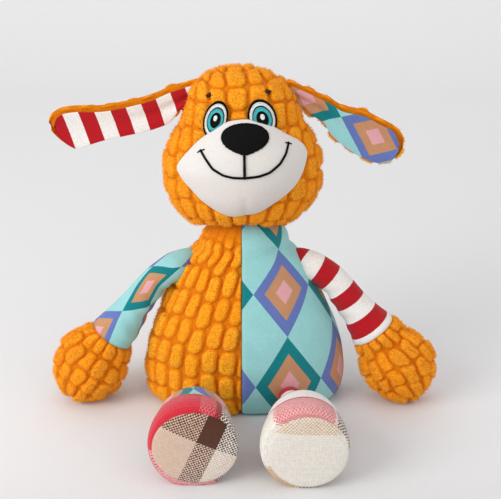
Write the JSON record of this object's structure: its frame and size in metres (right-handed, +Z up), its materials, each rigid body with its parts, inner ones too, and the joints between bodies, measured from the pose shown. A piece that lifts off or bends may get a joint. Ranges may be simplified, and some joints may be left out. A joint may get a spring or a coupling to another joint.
{
  "type": "squeaky dog toy",
  "caption": "Seated stuffed dog toy in mixed plush and printed cloth, with floppy ears and limbs, a stitched face and a squeaker inside its belly.",
  "frame": {"origin": "middle of the flat seat under the torso, on the surface that the toy sits on", "axes": "+Z up out of the seat, the face looks along -Y, +X towards the dog's own left paw"},
  "size_m": [0.2692, 0.1686, 0.23],
  "materials": {
    "corn_plush": "short orange pile plush cut into raised rounded blocks",
    "diamond_print": "smooth short-pile fleece with a woven-look diamond pattern in aqua, blue, teal, tan and pink",
    "stripe_cloth": "red and white striped knit fleece",
    "check_cloth": "coarse woven check in brown, tan, cream and red",
    "white_plush": "short white velboa plush",
    "stuffing": "white polyester fibre fill",
    "black_thread": "black satin-stitch embroidery",
    "white_thread": "white satin-stitch embroidery",
    "turquoise_thread": "turquoise satin-stitch embroidery",
    "maroon_thread": "dark maroon satin-stitch embroidery",
    "orange_thread": "orange sewing thread",
    "squeaker_plastic": "soft moulded translucent plastic",
    "reed_film": "thin stiff film"
  },
  "bodies": {
    "torso": {"body_plush_cover": "corn_plush", "body_print_cover": "diamond_print", "body_stuffing": "stuffing", "squeaker_backing_stuffing": "stuffing", "back_closing_thread": "orange_thread", "squeaker_base": "squeaker_plastic", "squeaker_bellows": "squeaker_plastic", "squeaker_whistle": "squeaker_plastic", "squeaker_reed": "reed_film"},
    "squeaker_top": {"squeaker_dome": "squeaker_plastic"},
    "neck": {"neck_stuffing": "stuffing"},
    "head": {"head_front_cover": "corn_plush", "head_back_cover": "corn_plush", "head_stuffing": "stuffing", "muzzle_panel": "white_plush", "muzzle_stuffing": "stuffing", "nose_pad": "black_thread", "mouth_thread": "black_thread", "philtrum_thread": "black_thread", "left_eye_outline": "black_thread", "left_eye_white": "white_thread", "left_eye_iris": "turquoise_thread", "left_eye_pupil": "black_thread", "left_eye_glint": "white_thread", "right_eye_outline": "black_thread", "right_eye_white": "white_thread", "right_eye_iris": "turquoise_thread", "right_eye_pupil": "black_thread", "right_eye_glint": "white_thread", "left_brow_tack": "maroon_thread", "right_brow_tack": "maroon_thread"},
    "left_ear": {"left_ear_back": "corn_plush", "left_ear_lining": "diamond_print"},
    "right_ear": {"right_ear_back": "corn_plush", "right_ear_lining": "stripe_cloth"},
    "left_shoulder": {"left_shoulder_stuffing": "stuffing"},
    "right_shoulder": {"right_shoulder_stuffing": "stuffing"},
    "left_arm": {"left_sleeve": "stripe_cloth", "left_paw_cover": "corn_plush", "left_arm_stuffing": "stuffing"},
    "right_arm": {"right_sleeve": "diamond_print", "right_paw_cover": "corn_plush", "right_arm_stuffing": "stuffing"},
    "left_hip": {"left_hip_stuffing": "stuffing"},
    "right_hip": {"right_hip_stuffing": "stuffing"},
    "left_leg": {"left_leg_tube": "stripe_cloth", "left_foot_upper": "check_cloth", "left_foot_sole": "check_cloth", "left_leg_stuffing": "stuffing"},
    "right_leg": {"right_leg_tube": "diamond_print", "right_foot_upper": "check_cloth", "right_foot_sole": "check_cloth", "right_leg_stuffing": "stuffing"}
  },
  "joints": [
    {"name": "head_turn", "type": "hinge", "parent": "torso", "child": "neck", "pos_m": [0, 0, 0.112], "axis": [0, 0, 1], "range_deg": [-35, 35], "stiffness_Nm_per_rad": 0.12},
    {"name": "head_nod", "type": "hinge", "parent": "neck", "child": "head", "pos_m": [0, 0, 0.112], "axis": [1, 0, 0], "range_deg": [-13, 13], "stiffness_Nm_per_rad": 0.25},
    {"name": "left_ear_flop", "type": "hinge", "parent": "head", "child": "left_ear", "pos_m": [0.03384, -0.003, 0.2135], "axis": [-0.5195, 0, 0.8545], "range_deg": [-50, 50], "stiffness_Nm_per_rad": 0.02},
    {"name": "right_ear_flop", "type": "hinge", "parent": "head", "child": "right_ear", "pos_m": [-0.03584, -0.003, 0.2135], "axis": [-0.5195, 0, -0.8545], "range_deg": [-50, 50], "stiffness_Nm_per_rad": 0.02},
    {"name": "left_arm_swing", "type": "hinge", "parent": "torso", "child": "left_shoulder", "pos_m": [0.04752, -0.007, 0.0965], "axis": [-1, 0, 0], "range_deg": [-35, 50], "stiffness_Nm_per_rad": 0.04},
    {"name": "left_arm_raise", "type": "hinge", "parent": "left_shoulder", "child": "left_arm", "pos_m": [0.04752, -0.007, 0.0965], "axis": [0, -1, 0], "range_deg": [0, 75], "stiffness_Nm_per_rad": 0.04},
    {"name": "right_arm_swing", "type": "hinge", "parent": "torso", "child": "right_shoulder", "pos_m": [-0.04752, -0.007, 0.0965], "axis": [-1, 0, 0], "range_deg": [-35, 50], "stiffness_Nm_per_rad": 0.04},
    {"name": "right_arm_raise", "type": "hinge", "parent": "right_shoulder", "child": "right_arm", "pos_m": [-0.04752, -0.007, 0.0965], "axis": [0, 1, 0], "range_deg": [0, 75], "stiffness_Nm_per_rad": 0.04},
    {"name": "left_leg_spread", "type": "hinge", "parent": "torso", "child": "left_hip", "pos_m": [0.031, -0.04751, 0.017], "axis": [0, 0, -1], "range_deg": [-28, 3], "stiffness_Nm_per_rad": 0.05},
    {"name": "left_leg_raise", "type": "hinge", "parent": "left_hip", "child": "left_leg", "pos_m": [0.031, -0.04751, 0.017], "axis": [-1, 0, 0], "range_deg": [-12, 45], "stiffness_Nm_per_rad": 0.05},
    {"name": "right_leg_spread", "type": "hinge", "parent": "torso", "child": "right_hip", "pos_m": [-0.031, -0.04751, 0.017], "axis": [0, 0, 1], "range_deg": [-28, 3], "stiffness_Nm_per_rad": 0.05},
    {"name": "right_leg_raise", "type": "hinge", "parent": "right_hip", "child": "right_leg", "pos_m": [-0.031, -0.04751, 0.017], "axis": [-1, 0, 0], "range_deg": [-12, 45], "stiffness_Nm_per_rad": 0.05},
    {"name": "squeaker_press", "type": "slide", "parent": "torso", "child": "squeaker_top", "axis": [0, 0, -1], "range_m": [0, 0.006], "stiffness_N_per_m": 900, "deforming": ["squeaker_bellows"]}
  ]
}
